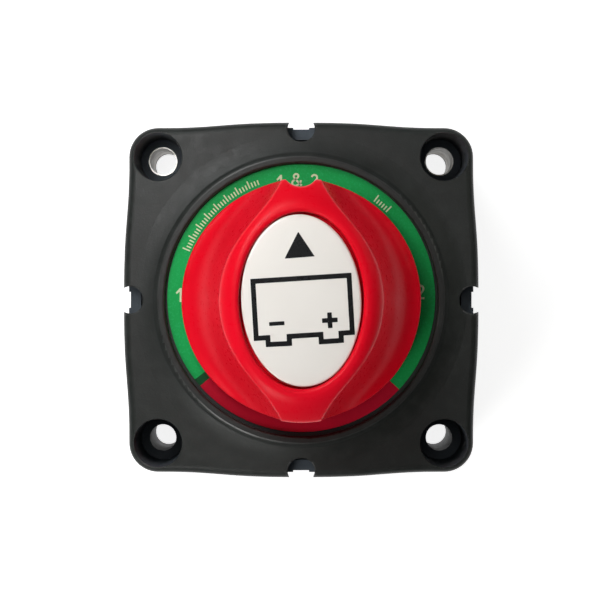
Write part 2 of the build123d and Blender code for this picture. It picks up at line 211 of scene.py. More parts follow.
def make_knob():
    th = np.radians(np.arange(0, 360, 0.5))
    fine = np.radians(np.arange(78, 102, 0.125))
    fine2 = np.radians(np.concatenate([np.arange(258, 264, 0.25), np.arange(276, 282, 0.25)]))
    th = np.unique(np.round(np.concatenate([th, fine, fine2]), 7))
    nt = len(th)
    cx, sy = np.cos(th), np.sin(th)
    col = []                                    # list of (nt, k, 2) blocks of (r, z)

    def block(p):
        col.append(np.asarray(p, float))

    def const(pts):
        a = np.zeros((nt, len(pts), 2))
        for k, (r, z) in enumerate(pts):
            a[:, k, 0] = r
            a[:, k, 1] = z
        return a

    # recess: floor, wall with a fillet at its foot, rolled lip
    rw = ellipse_r(11.45, 16.25, th)
    rl = ellipse_r(12.2, 17.0, th)
    zf = 73.2
    block(const([(6.2, zf), (6.5, zf)]))
    block(np.stack([np.stack([6.5 + (rw - 0.5 - 6.5) * f, np.full(nt, zf)], -1) for f in (0.33, 0.66, 0.9)], 1))
    block(bezier2(np.stack([rw - 0.3, np.full(nt, zf)], -1), np.stack([rw, np.full(nt, zf)], -1), np.stack([rw, np.full(nt, zf + 0.3)], -1), 5))
    block(np.stack([np.stack([rw, np.full(nt, z)], -1) for z in (74.2, 75.2)], 1))
    block(bezier2(np.stack([rw, np.full(nt, KZ1 - 0.75)], -1), np.stack([rw + 0.12, np.full(nt, KZ1 - 0.02)], -1), np.stack([rl + 0.05, np.full(nt, KZ1)], -1), 9))
    # plateau rolling off to the ridge
    r_ridge = bisect(lambda r: r * np.abs(cx) - ridge_of(r * np.abs(sy)), np.full(nt, 5.0), np.full(nt, 60.0))
    r_ridge = np.minimum(r_ridge, 40.0)
    zt = dome_z(22.6 * cx, 22.6 * sy)
    out = wall_r(th, zt)
    zt = dome_z(out * cx, out * sy)
    out = wall_r(th, zt)
    nose = r_ridge >= out
    re = np.where(nose, out, r_ridge)
    ze = dome_z(re * cx, re * sy)
    d1 = 0.55
    start = rl + 0.12
    end = re - d1
    fr = np.array([0.0, 0.04, 0.1, 0.18, 0.28, 0.4, 0.52, 0.64, 0.76, 0.86, 0.94, 1.0])
    rr = start[:, None] + (end - start)[:, None] * fr[None, :]
    zz = dome_z(rr * cx[:, None], rr * sy[:, None])
    block(np.stack([rr, zz], -1))
    # ridge fillet: from the roll-off into the wall
    a = np.stack([end, zz[:, -1]], -1)
    slope = (ze - zz[:, -1]) / d1
    b = np.stack([re, np.minimum(ze, zz[:, -1] + slope * d1)], -1)
    drop = 0.6
    c = np.stack([re, ze - drop], -1)
    block(bezier2(a, b, c, 8)[:, 1:])
    # wall down to the scoop
    top = ze - drop
    block(np.stack([np.stack([re, top + (SCOOP_Z1 - top) * f], -1) for f in (0.33, 0.66)], 1))

    def scoop_pt(t):
        """The scoop's point on each ray at its angle t."""
        q = 1 - np.cos(t)
        lo, hi = re, re + 30
        r = bisect(lambda r: (r * np.abs(cx) - ridge_of(r * np.abs(sy))) / width_of(r * np.abs(sy)) - q, lo, hi)
        return r, SCOOP_Z1 - (SCOOP_Z1 - FLOOR_Z) * np.sin(t)

    def past(t):
        r, z = scoop_pt(t)
        return r - wall_r(th, z)

    t_end = bisect(past, np.zeros(nt), np.full(nt, math.pi / 2))
    t_end = np.where(nose, 0.0, t_end)
    ks = 34
    arr = []
    for f in np.linspace(0, 1, ks):
        t = t_end * f
        r, z = scoop_pt(t)
        r = np.where(nose, out, r)
        arr.append(np.stack([r, z], -1))
    sc = np.stack(arr, 1)
    # crease where the scoop runs out through the drum's wall, rounded
    length = np.hypot(sc[:, -1, 0] - sc[:, 0, 0], sc[:, -1, 1] - sc[:, 0, 1])
    d2 = np.clip(length * 0.35, 0, 0.5)
    corner_r = wall_r(th, sc[:, -1, 1])
    corner = np.stack([corner_r, sc[:, -1, 1]], -1)
    seg = np.diff(sc, axis=1)
    cum = np.concatenate([np.zeros((nt, 1)), np.cumsum(np.hypot(seg[..., 0], seg[..., 1]), 1)], 1)
    total = cum[:, -1]
    stop = np.maximum(total - d2, 0)
    pos = stop[:, None] * np.linspace(0, 1, 30)[None, :] ** 0.9
    sp = np.zeros((nt, 30, 2))
    for i in range(nt):
        sp[i, :, 0] = np.interp(pos[i], cum[i], sc[i, :, 0])
        sp[i, :, 1] = np.interp(pos[i], cum[i], sc[i, :, 1])
    block(sp)
    a = sp[:, -1]
    c = np.stack([wall_r(th, corner[:, 1] - d2), corner[:, 1] - d2], -1)
    block(bezier2(a, corner, c, 7)[:, 1:])
    zw = c[:, 1]
    bot = KZ0 + 0.4
    for f in np.linspace(0, 1, 9)[1:]:
        z = zw + (bot - zw) * f
        block(np.stack([wall_r(th, z), z], -1)[:, None, :])
    rb = wall_r(th, np.full(nt, KZ0))
    block(bezier2(np.stack([rb, np.full(nt, bot)], -1), np.stack([rb, np.full(nt, KZ0)], -1), np.stack([rb - 0.4, np.full(nt, KZ0)], -1), 5)[:, 1:])
    # underside: ring, shallow drum, long core, hub with its square socket, screw hole
    rin = np.minimum(20.6, rb - 1.4)
    rc = ellipse_r(11.6, 17.6, th)
    block(np.stack([np.stack([rin + 0.3, np.full(nt, KZ0)], -1), np.stack([rin, np.full(nt, KZ0 + 0.3)], -1), np.stack([rin, np.full(nt, 49.3)], -1),
                    np.stack([rin - 0.3, np.full(nt, 49.6)], -1), np.stack([rc + 0.3, np.full(nt, 49.6)], -1), np.stack([rc, np.full(nt, 49.9)], -1),
                    np.stack([rc, np.full(nt, 60.0)], -1), np.stack([rc, np.full(nt, 69.9)], -1), np.stack([rc - 0.5, np.full(nt, 70.4)], -1)], 1))
    block(const([(8.4, 70.4), (8.0, 70.0), (8.0, 58.0), (8.0, 46.8), (7.7, 46.5)]))
    rq = square_r(4.07, th)
    block(np.stack([np.stack([rq + 0.3, np.full(nt, 46.5)], -1), np.stack([rq, np.full(nt, 46.8)], -1), np.stack([rq, np.full(nt, 54.0)], -1), np.stack([rq, np.full(nt, 61.5)], -1)], 1))
    block(const([(2.75, 61.5), (2.75, 63.0), (6.2, 63.0), (6.2, 68.0)]))
    prof = np.concatenate(col, 1)
    npr = prof.shape[1]
    xyz = np.stack([prof[..., 0] * cx[:, None], prof[..., 0] * sy[:, None], prof[..., 1]], -1).reshape(-1, 3)
    ob = new_object("knob_body", xyz, ring_faces(nt, npr, True), merge=2e-6, weighted=False)
    return ob


def cutter_box(x0, x1, y0, y1, z0, z1, turn):
    v = np.array([(x, y, z) for x in (x0, x1) for y in (y0, y1) for z in (z0, z1)], float)
    c, s = math.cos(turn), math.sin(turn)
    v[:, :2] = v[:, :2] @ np.array([[c, s], [-s, c]])
    f = [(0, 1, 3, 2), (4, 6, 7, 5), (0, 4, 5, 1), (2, 3, 7, 6), (0, 2, 6, 4), (1, 5, 7, 3)]
    me = bpy.data.meshes.new("cutter")
    me.from_pydata([tuple(p * MM) for p in v], [], f)
    ob = bpy.data.objects.new("cutter", me)
    scene.collection.objects.link(ob)
    bm = bmesh.new()
    bm.from_mesh(me)
    bmesh.ops.recalc_face_normals(bm, faces=bm.faces[:])
    bm.to_mesh(me)
    bm.free()
    return ob


def cut(ob, cutters):
    for c in cutters:
        mod = ob.modifiers.new("cut", "BOOLEAN")
        mod.operation = "DIFFERENCE"
        mod.solver = "EXACT"
        mod.object = c
    bake_modifiers(ob)
    for c in cutters:
        me = c.data
        bpy.data.objects.remove(c)
        bpy.data.meshes.remove(me)
    bm = bmesh.new()
    bm.from_mesh(ob.data)
    finish_shading(bm, 38.0)
    bm.to_mesh(ob.data)
    bm.free()
    weight_normals(ob)


knob = make_knob()
TURN = math.radians(3.0)
cut(knob, [cutter_box(-2.3, 2.3, s * 11.2 - 1.0, s * 11.2 + 1.0, 69.0, 74.5, TURN) for s in (-1, 1)])
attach(knob, "knob_group")
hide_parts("knob")


# -------------------------------------------------------- the knob's insert
RECESS_Z = 73.2
IN_Z0, IN_Z1 = RECESS_Z + 0.05, RECESS_Z + 2.8
IA, IB = 11.05, 15.85


def crown(x, y):
    """Height of the insert's slightly domed face at a point, in millimetres."""
    c, s = math.cos(-TURN), math.sin(-TURN)
    u, v = x * c - y * s, x * s + y * c
    q = np.clip((u / IA) ** 2 + (v / IB) ** 2, 0, 1)
    return IN_Z1 + 0.22 * (1 - q) - 0.06


def make_insert():
    nt = 256
    th = np.arange(nt) * 2 * math.pi / nt
    base = ellipse_r(IA, IB, th, TURN)
    col = []
    for f in (0.0, 0.12, 0.25, 0.38, 0.5, 0.62, 0.73, 0.83, 0.91):
        r = base * f
        col.append(np.stack([r, crown(r * np.cos(th), r * np.sin(th))], -1)[:, None])
    a = np.stack([base - 0.55, crown((base - 0.55) * np.cos(th), (base - 0.55) * np.sin(th))], -1)
    col.append(bezier2(a, np.stack([base, a[:, 1] - 0.04], -1), np.stack([base, np.full(nt, IN_Z1 - 0.55)], -1), 9))
    for z in (74.6, 73.6):
        col.append(np.stack([base, np.full(nt, z)], -1)[:, None])
    col.append(bezier2(np.stack([base, np.full(nt, IN_Z0 + 0.15)], -1), np.stack([base, np.full(nt, IN_Z0)], -1), np.stack([base - 0.15, np.full(nt, IN_Z0)], -1), 3))
    for rr, z in ((6.0, IN_Z0), (6.0, RECESS_Z + 1.0), (0.0, RECESS_Z + 1.0)):
        col.append(np.stack([np.full(nt, rr), np.full(nt, z)], -1)[:, None])
    prof = np.concatenate(col, 1)
    xyz = np.stack([prof[..., 0] * np.cos(th)[:, None], prof[..., 0] * np.sin(th)[:, None], prof[..., 1]], -1).reshape(-1, 3)
    ob = new_object("insert_body", xyz, ring_faces(nt, prof.shape[1], False), merge=2e-6, weighted=False)
    for s in (-1, 1):
        leg = cutter_box(-2.0, 2.0, s * 11.2 - 0.7, s * 11.2 + 0.7, 68.2, RECESS_Z + 0.5, TURN)
        lo, hi = sorted((s * 11.2, s * 12.5))
        barb = cutter_box(-1.9, 1.9, lo, hi, 68.35, 69.8, TURN)
        for c in (leg, barb):
            mod = ob.modifiers.new("add", "BOOLEAN")
            mod.operation = "UNION"
            mod.solver = "EXACT"
            mod.object = c
            bake_modifiers(ob)
            me = c.data
            bpy.data.objects.remove(c)
            bpy.data.meshes.remove(me)
    bm = bmesh.new()
    bm.from_mesh(ob.data)
    finish_shading(bm, 38.0)
    bm.to_mesh(ob.data)
    bm.free()
    weight_normals(ob)
    return ob


insert = make_insert()
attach(insert, "knob_group")
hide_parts("knob_insert")


# ------------------------------------------------------------- printed marks
def px(x, y, plane):
    """A point of the drawing grid (600 by 600 seen straight down) on a plane at that height, in millimetres."""
    k = 2791.0 / (590.0 - plane)
    return (x - 308.0) / k + 1.44, -(y - 290.0) / k + 2.12


def plate_from_loops(name, loops, z_of, thick, sub=0):
    """A thin closed plate with its outlines in loops (outer first, then holes), lying on z_of and thick above it."""
    bm = bmesh.new()
    edges = []
    for loop in loops:
        vs = [bm.verts.new((x, y, 0)) for x, y in loop]
        edges += [bm.edges.new((vs[i], vs[(i + 1) % len(vs)])) for i in range(len(vs))]
    bmesh.ops.triangle_fill(bm, use_beauty=True, use_dissolve=False, edges=edges)
    if sub:
        bmesh.ops.subdivide_edges(bm, edges=bm.edges[:], cuts=sub, use_grid_fill=True)
    me = bpy.data.meshes.new(name)
    bm.to_mesh(me)
    bm.free()
    return solid_print(name, me, z_of, thick)


def solid_print(name, me, z_of, thick):
    """Turns a flat mesh in millimetres into a thin closed print that follows the surface under it."""
    bm = bmesh.new()
    bm.from_mesh(me)
    bpy.data.meshes.remove(me)
    bmesh.ops.remove_doubles(bm, verts=bm.verts[:], dist=1e-5)
    bmesh.ops.recalc_face_normals(bm, faces=bm.faces[:])
    for f in bm.faces:
        if f.normal.z < 0:
            f.normal_flip()
    flat = [(v, v.co.x, v.co.y) for v in bm.verts]
    for v, x, y in flat:
        v.co = Vector((x, y, float(z_of(x, y)) - 0.02))
    top = bmesh.ops.extrude_face_region(bm, geom=bm.faces[:])
    for v in [g for g in top["geom"] if isinstance(g, bmesh.types.BMVert)]:
        v.co.z += thick + 0.02
    bmesh.ops.recalc_face_normals(bm, faces=bm.faces[:])
    for v in bm.verts:
        v.co *= MM
    for f in bm.faces:
        f.smooth = False
    out = bpy.data.meshes.new(name)
    bm.to_mesh(out)
    bm.free()
    ob = bpy.data.objects.new(name, out)
    scene.collection.objects.link(ob)
    return ob


def rounded(loop, r, n=5):
    """A closed outline with its corners rounded to about r."""
    out = []
    k = len(loop)
    for i in range(k):
        p, a, b = (np.array(loop[j], float) for j in (i, i - 1, (i + 1) % k))
        da, db = a - p, b - p
        la, lb = np.linalg.norm(da), np.linalg.norm(db)
        d = min(r, 0.45 * la, 0.45 * lb)
        s, e = p + da / la * d, p + db / lb * d
        for t in np.linspace(0, 1, n):
            out.append(tuple((1 - t) ** 2 * s + 2 * t * (1 - t) * p + t * t * e))
    return out


def offset_loop(loop, d):
    """The outline moved to its left by d, with mitred corners."""
    k = len(loop)
    out = []
    for i in range(k):
        p, a, b = (np.array(loop[j], float) for j in (i, i - 1, (i + 1) % k))
        u = (p - a) / np.linalg.norm(p - a)
        v = (b - p) / np.linalg.norm(b - p)
        n1, n2 = np.array([-u[1], u[0]]), np.array([-v[1], v[0]])
        m = (n1 + n2) / (1 + n1 @ n2)
        out.append(tuple(p + m * d))
    return out


INK_T = 0.03
tri = [px(x, y, 76) for x, y in ((297.0, 232.9), (283.4, 259.8), (313.5, 257.5))]
prints_knob = [plate_from_loops("mark_triangle", [rounded(tri, 0.18)], crown, INK_T, sub=4)]
case = [(251.9, 282.4), (347.6, 276.4), (350.9, 333.2), (339.6, 334.0), (340.0, 341.2), (320.0, 342.6), (319.6, 335.2),
        (288.0, 337.2), (288.4, 344.2), (267.2, 345.3), (266.8, 338.4), (255.2, 339.2)]
case = [px(x, y, 76) for x, y in case]
line_w = 0.92
o1, o2 = offset_loop(case, line_w / 2), offset_loop(case, -line_w / 2)
prints_knob.append(plate_from_loops("mark_battery", [rounded(o1, 0.1, 3), rounded(o2, 0.1, 3)], crown, INK_T, sub=3))
prints_knob.append(plate_from_loops("mark_minus", [rounded([px(x, y, 76) for x, y in ((267.9, 323.0), (283.2, 322.0), (283.5, 325.9), (268.2, 326.9))], 0.15)], crown, INK_T, sub=3))
pc = px(328.5, 321.1, 76)
ang = math.radians(3.5)
arm, half = 15.6 / 5.43 / 2, 4.6 / 5.43 / 2
plus = [(arm, -half), (arm, half), (half, half), (half, arm), (-half, arm), (-half, half), (-arm, half), (-arm, -half), (-half, -half), (-half, -arm), (half, -arm), (half, -half)]
plus = [(pc[0] + x * math.cos(ang) - y * math.sin(ang), pc[1] + x * math.sin(ang) + y * math.cos(ang)) for x, y in plus]
prints_knob.append(plate_from_loops("mark_plus", [rounded(plus, 0.12, 4)], crown, INK_T, sub=3))
for ob in prints_knob:
    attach(ob, "knob_group")

LABEL_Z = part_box("dial_label")[1].z / MM


def label_height(x, y):
    return LABEL_Z


def poly_print(name, polys_px, plane=None):
    """Thin prints from closed outlines given on the drawing grid, joined as one piece."""
    pl = LABEL_Z if plane is None else plane
    bm = bmesh.new()
    for poly in polys_px:
        vs = [bm.verts.new((*px(x, y, pl), 0)) for x, y in poly]
        es = [bm.edges.new((vs[i], vs[(i + 1) % len(vs)])) for i in range(len(vs))]
        bmesh.ops.triangle_fill(bm, use_beauty=True, use_dissolve=False, edges=es)
    me = bpy.data.meshes.new(name)
    bm.to_mesh(me)
    bm.free()
    return solid_print(name, me, label_height, INK_T)


def digit_one(name, x, top, height, stroke=2.1, flag=4.2):
    """A plain sans 1: stem with a slanted flag; x is the stem's right edge on the drawing grid."""
    f = flag
    return poly_print(name, [[(x, top), (x, top + height), (x - stroke, top + height), (x - stroke, top + 3.6),
                              (x - stroke - f + 1.2, top + 3.6 + f * 0.62), (x - stroke - f + 0.2, top + 2.2 + f * 0.62), (x - stroke + 0.3, top)]])


def stroke_print(name, path, width, closed=False):
    """A print that follows a line of points on the drawing grid with a pen of that width."""
    pts = [np.array(px(x, y, LABEL_Z)) for x, y in path]
    w = width / 5.13 / 2
    n = len(pts)
    left, right = [], []
    for i, p in enumerate(pts):
        if closed:
            a, b = pts[i - 1], pts[(i + 1) % n]
        else:
            a, b = pts[max(i - 1, 0)], pts[min(i + 1, n - 1)]
        d = (b - a) / np.linalg.norm(b - a)
        m = np.array([-d[1], d[0]])
        left.append(p + m * w)
        right.append(p - m * w)
    bm = bmesh.new()
    lv = [bm.verts.new((*v, 0)) for v in left]
    rv = [bm.verts.new((*v, 0)) for v in right]
    last = n if closed else n - 1
    for i in range(last):
        j = (i + 1) % n
        bm.faces.new((lv[i], lv[j], rv[j], rv[i]))
    me = bpy.data.meshes.new(name)
    bm.to_mesh(me)
    bm.free()
    return solid_print(name, me, label_height, INK_T)


def curve_points(ctrl, n=8):
    """A smooth line through the control points."""
    c = [np.array(p, float) for p in ctrl]
    c = [2 * c[0] - c[1]] + c + [2 * c[-1] - c[-2]]
    out = []
    for i in range(1, len(c) - 2):
        for k in range(n):
            t = k / n
            out.append(0.5 * ((2 * c[i]) + (c[i + 1] - c[i - 1]) * t + (2 * c[i - 1] - 5 * c[i] + 4 * c[i + 1] - c[i + 2]) * t * t
                              + (-c[i - 1] + 3 * c[i] - 3 * c[i + 1] + c[i + 2]) * t ** 3))
    out.append(c[-2])
    return out


def digit_two(name, x, top, width, height, stroke=2.0):
    """A plain sans 2 whose box starts at x, top on the drawing grid."""
    u, v = width / 7.0, height / 12.0
    arc = [(0.9, 3.0), (1.5, 1.7), (3.4, 0.95), (5.3, 1.8), (5.9, 3.6), (5.1, 5.6), (3.2, 7.9), (1.5, 9.9), (0.9, 11.0)]
    pts = curve_points([(x + a * u, top + b * v) for a, b in arc], 5)
    foot = [(x + 0.2 * u, top + 11.0 * v), (x + 6.9 * u, top + 11.0 * v)]
    a = stroke_print(name, pts, stroke)
    b = stroke_print(name + "_foot", foot, stroke)
    return join_pieces(a, [b])


def ampersand(name, x, top, width, height, stroke=1.9):
    """A plain sans ampersand whose box starts at x, top on the drawing grid."""
    u, v = width / 11.0, height / 13.0
    line = [(10.2, 12.1), (8.3, 10.2), (5.9, 7.7), (3.6, 5.2), (2.6, 3.2), (3.3, 1.5), (5.0, 0.9), (6.6, 1.7), (6.9, 3.3), (5.8, 4.9),
            (3.4, 6.4), (1.4, 8.2), (1.2, 10.2), (2.8, 11.9), (5.2, 12.0), (7.5, 10.6), (8.9, 8.6), (9.4, 6.9)]
    return stroke_print(name, curve_points([(x + a * u, top + b * v) for a, b in line], 5), stroke)


def join_pieces(a, others):
    """One mesh object from several closed prints."""
    bm = bmesh.new()
    bm.from_mesh(a.data)
    for o in others:
        bm.from_mesh(o.data)
    bm.to_mesh(a.data)
    bm.free()
    for o in others:
        me = o.data
        bpy.data.objects.remove(o)
        bpy.data.meshes.remove(me)
    return a


prints_label = [
    digit_one("digit_top_left", 281.5, 176.4, 12.6, 2.0, 3.6),
    ampersand("digit_top_and", 290.6, 174.6, 11.4, 13.4, 1.9),
    digit_two("digit_top_right", 310.2, 175.4, 7.4, 12.6, 1.9),
    digit_one("digit_left", 181.8, 289.0, 14.0, 2.2, 4.0),
    digit_two("digit_right", 415.4, 285.4, 8.0, 15.0, 2.1),
]


def tick_ring(name, a0, a1, count, r0, r1, width, long_every=0):
    """Plain radial ticks on the dial, from a0 to a1 degrees, as one print."""
    dy = 0.35
    bm = bmesh.new()
    for i in range(count):
        a = math.radians(a0 + (a1 - a0) * i / (count - 1))
        rr = r1 if not long_every or i % long_every == 0 else r0 + 0.62 * (r1 - r0)
        c, s = math.cos(a), math.sin(a)
        pts = [(r0, -width / 2), (rr, -width / 2), (rr, width / 2), (r0, width / 2)]
        bm.faces.new([bm.verts.new((r * c - t * s, dy + r * s + t * c, 0)) for r, t in pts])
    me = bpy.data.meshes.new(name)
    bm.to_mesh(me)
    bm.free()
    return solid_print(name, me, label_height, INK_T)


prints_label.append(tick_ring("scale_ticks", 157.0, 110.5, 32, 23.45, 25.0, 0.26, 4))
prints_label.append(tick_ring("scale_ticks_short", 53.0, 45.5, 6, 23.45, 25.0, 0.26, 5))
for ob in prints_label:
    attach(ob, "switch_body")


# ------------------------------------------------------------ threaded studs
def make_stud(name, deg, spigot):
    """An M10 terminal stud with its real thread, a square head and, on the common one, a round spigot."""
    pitch, r_out, r_in = 1.5, 5.0, 4.16
    lo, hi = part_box(name)
    z0 = lo.z / MM
    x0, y0 = 16.5 * math.cos(math.radians(deg)), 16.5 * math.sin(math.radians(deg))
    nt = 96
    th = np.arange(nt) * 2 * math.pi / nt
    zs = np.arange(z0, 22.0, 0.125)
    cols = [np.stack([np.zeros(nt), np.full(nt, z0)], -1), np.stack([np.full(nt, 2.0), np.full(nt, z0)], -1)]
    for z in zs:
        ph = (z / pitch - th / (2 * math.pi)) % 1.0
        saw = np.abs(ph - 0.5) * 2                      # 0 at the crest, 1 at the root
        depth = np.clip((saw - 0.12) / 0.7, 0, 1)
        fade = min(1.0, max(0.0, (21.0 - z) / 1.2))
        r = r_out - (r_out - r_in) * depth * fade
        r = np.minimum(r, 3.9 + (z - z0) * 1.1)
        cols.append(np.stack([r, np.full(nt, z)], -1))
    cols.append(np.stack([np.full(nt, r_out), np.full(nt, 25.9)], -1))
    cols.append(np.stack([np.full(nt, r_out + 0.1), np.full(nt, 26.0)], -1))
    sq = square_r(5.5, th - math.radians(deg))
    ztop = 28.0 if spigot else 29.5
    for dr, z in ((-0.2, 26.0), (0.0, 26.2), (0.0, ztop - 0.3), (-0.3, ztop)):
        cols.append(np.stack([sq + dr, np.full(nt, z)], -1))
    if spigot:
        for r, z in ((4.2, 28.0), (4.0, 28.2), (4.0, 29.2), (3.7, 29.5)):
            cols.append(np.stack([np.full(nt, r), np.full(nt, z)], -1))
        ztop = 29.5
    cols.append(np.stack([np.zeros(nt), np.full(nt, ztop)], -1))
    prof = np.stack(cols, 1)
    xyz = np.stack([x0 + prof[..., 0] * np.cos(th)[:, None], y0 + prof[..., 0] * np.sin(th)[:, None], prof[..., 1]], -1).reshape(-1, 3)
    ob = new_object(name + "_threaded", xyz, ring_faces(nt, prof.shape[1], False), merge=2e-6, sharp_deg=40, weighted=False)
    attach(ob, "switch_body")
    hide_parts(name)
    return ob


studs = [make_stud("stud_1", 135, False), make_stud("stud_2", 45, False), make_stud("stud_common", 270, True)]


# ----------------------------------------------------------------- materials
class Mat:
    """Small helper for a node material."""

    def __init__(self, name):
        self.m = bpy.data.materials.new(name)
        self.m.use_nodes = True
        self.t = self.m.node_tree
        self.b = self.t.nodes["Principled BSDF"]
        self.co = self.t.nodes.new("ShaderNodeTexCoord").outputs["Object"]

    def set(self, **kw):
        for k, v in kw.items():
            self.b.inputs[k.replace("_", " ")].default_value = v
        return self

    def link(self, a, b):
        self.t.links.new(a, b)

    def noise(self, scale, detail=3.0, rough=0.5, offset=(0, 0, 0), stretch=(1, 1, 1), distortion=0.0):
        mp = self.t.nodes.new("ShaderNodeMapping")
        mp.inputs["Location"].default_value = offset
        mp.inputs["Scale"].default_value = stretch
        self.link(self.co, mp.inputs["Vector"])
        n = self.t.nodes.new("ShaderNodeTexNoise")
        n.inputs["Scale"].default_value = scale
        n.inputs["Detail"].default_value = detail
        n.inputs["Roughness"].default_value = rough
        n.inputs["Distortion"].default_value = distortion
        self.link(mp.outputs[0], n.inputs["Vector"])
        return n.outputs["Fac"]

    def voronoi(self, scale, feature="F1"):
        n = self.t.nodes.new("ShaderNodeTexVoronoi")
        n.feature = feature
        n.inputs["Scale"].default_value = scale
        self.link(self.co, n.inputs["Vector"])
        return n.outputs["Distance"]

    def ramp(self, fac, stops):
        n = self.t.nodes.new("ShaderNodeValToRGB")
        e = n.color_ramp.elements
        while len(e) < len(stops):
            e.new(0.5)
        for el, (p, c) in zip(e, stops):
            el.position = p
            el.color = (*c, 1) if isinstance(c, tuple) else (c, c, c, 1)
        self.link(fac, n.inputs["Fac"])
        return n.outputs["Color"]

    def map(self, fac, lo, hi, a=0.3, b=0.7):
        n = self.t.nodes.new("ShaderNodeMapRange")
        n.inputs["From Min"].default_value = a
        n.inputs["From Max"].default_value = b
        n.inputs["To Min"].default_value = lo
        n.inputs["To Max"].default_value = hi
        self.link(fac, n.inputs["Value"])
        return n.outputs["Result"]

    def math(self, op, a, b=None, c=None):
        n = self.t.nodes.new("ShaderNodeMath")
        n.operation = op
        for k, v in enumerate((a, b, c)):
            if v is None:
                continue
            if isinstance(v, (int, float)):
                n.inputs[k].default_value = v
            else:
                self.link(v, n.inputs[k])
        return n.outputs[0]

    def mix(self, fac, a, b, mode="MIX"):
        n = self.t.nodes.new("ShaderNodeMix")
        n.data_type = "RGBA"
        n.blend_type = mode
        if isinstance(fac, (int, float)):
            n.inputs[0].default_value = fac
        else:
            self.link(fac, n.inputs[0])
        for k, v in ((6, a), (7, b)):
            if isinstance(v, tuple):
                n.inputs[k].default_value = (*v, 1)
            else:
                self.link(v, n.inputs[k])
        return n.outputs[2]

    def bump(self, height, distance, strength=1.0, normal=None):
        n = self.t.nodes.new("ShaderNodeBump")
        n.inputs["Distance"].default_value = distance
        n.inputs["Strength"].default_value = strength
        self.link(height, n.inputs["Height"])
        if normal is not None:
            self.link(normal, n.inputs["Normal"])
        return n.outputs["Normal"]

    def xyz(self):
        n = self.t.nodes.new("ShaderNodeSeparateXYZ")
        self.link(self.co, n.inputs[0])
        return n.outputs

    def out(self, color=None, rough=None, normal=None, metallic=None):
        if color is not None:
            self.link(color, self.b.inputs["Base Color"])
        if rough is not None:
            self.link(rough, self.b.inputs["Roughness"])
        if normal is not None:
            self.link(normal, self.b.inputs["Normal"])
        if metallic is not None:
            self.link(metallic, self.b.inputs["Metallic"])
        return self.m


def moulded(name, c0, c1, rough=(0.42, 0.56), grain=3200.0, grain_h=2.2e-5, spec=0.45, wear=0.0):
    """Spark-eroded moulded plastic: fine grain, faint flow mottling, rubbed high spots."""
    m = Mat(name).set(Specular_IOR_Level=spec)
    big = m.noise(38.0, 4.0, 0.55)
    mid = m.noise(420.0, 4.0, 0.6, (0.3, 0.1, 0.2))
    fine = m.noise(grain, 3.0, 0.65, (0.7, 0.5, 0.1))
    col = m.mix(m.map(big, 0, 1, 0.35, 0.65), c0, c1)
    col = m.mix(m.map(mid, 0.0, 0.35, 0.45, 0.75), col, tuple(min(1, v * 1.5 + 0.004) for v in c1))
    pale = m.ramp(fine, [(0.0, 0.0), (0.62, 0.0), (0.78, 1.0), (1.0, 1.0)])
    col = m.mix(m.map(pale, 0.0, 0.3, 0, 1), col, tuple(min(1, v * 2.1 + 0.008) for v in c1))
    r = m.map(mid, rough[0], rough[1], 0.3, 0.7)
    n1 = m.bump(fine, grain_h, 1.0)
    n2 = m.bump(mid, grain_h * 1.2, 0.6, n1)
    return m.out(col, r, n2)


def gloss(name, c0, c1, rough=(0.22, 0.34), wave=900.0, wave_h=1.2e-5, coat=0.0, sss=0.0, sss_radius=(1, 0.2, 0.1), spec=0.5):
    """Polished moulded plastic with a faint orange peel, hairline rubs and slight tone drift."""
    m = Mat(name).set(Specular_IOR_Level=spec, Coat_Weight=coat, Coat_Roughness=0.12, Subsurface_Weight=sss, Subsurface_Scale=0.0012)
    m.b.inputs["Subsurface Radius"].default_value = sss_radius
    big = m.noise(45.0, 3.0, 0.5, (0.2, 0.7, 0.4))
    peel = m.noise(wave, 2.0, 0.5, (0.1, 0.9, 0.3))
    rub = m.noise(1500.0, 3.0, 0.7, (0.6, 0.2, 0.9), (1.0, 0.12, 1.0))
    rub2 = m.noise(1300.0, 3.0, 0.7, (0.1, 0.8, 0.3), (0.14, 1.0, 1.0))
    col = m.mix(m.map(big, 0, 1, 0.35, 0.65), c0, c1)
    r = m.map(m.math("ADD", rub, rub2), rough[0], rough[1], 0.8, 1.25)
    n = m.bump(peel, wave_h, 0.5)
    n = m.bump(rub, 2.0e-6, 0.6, n)
    return m.out(col, r, n)


def metal(name, c0, c1, rough=(0.22, 0.4), stretch=(1, 1, 8), tarnish=None, amount=(0.55, 0.75)):
    """Bright or plated metal with fine machining lines and a little tarnish."""
    m = Mat(name).set(Metallic=1.0)
    lines = m.noise(900.0, 3.0, 0.6, (0.4, 0.2, 0.6), stretch)
    big = m.noise(140.0, 4.0, 0.6, (0.9, 0.3, 0.5))
    col = m.mix(m.map(lines, 0, 1, 0.3, 0.7), c0, c1)
    if tarnish is not None:
        col = m.mix(m.map(big, 0.0, 0.85, *amount), col, tarnish)
    r = m.map(big, rough[0], rough[1], 0.35, 0.65)
    n = m.bump(lines, 4e-6, 0.6)
    return m.out(col, r, n)


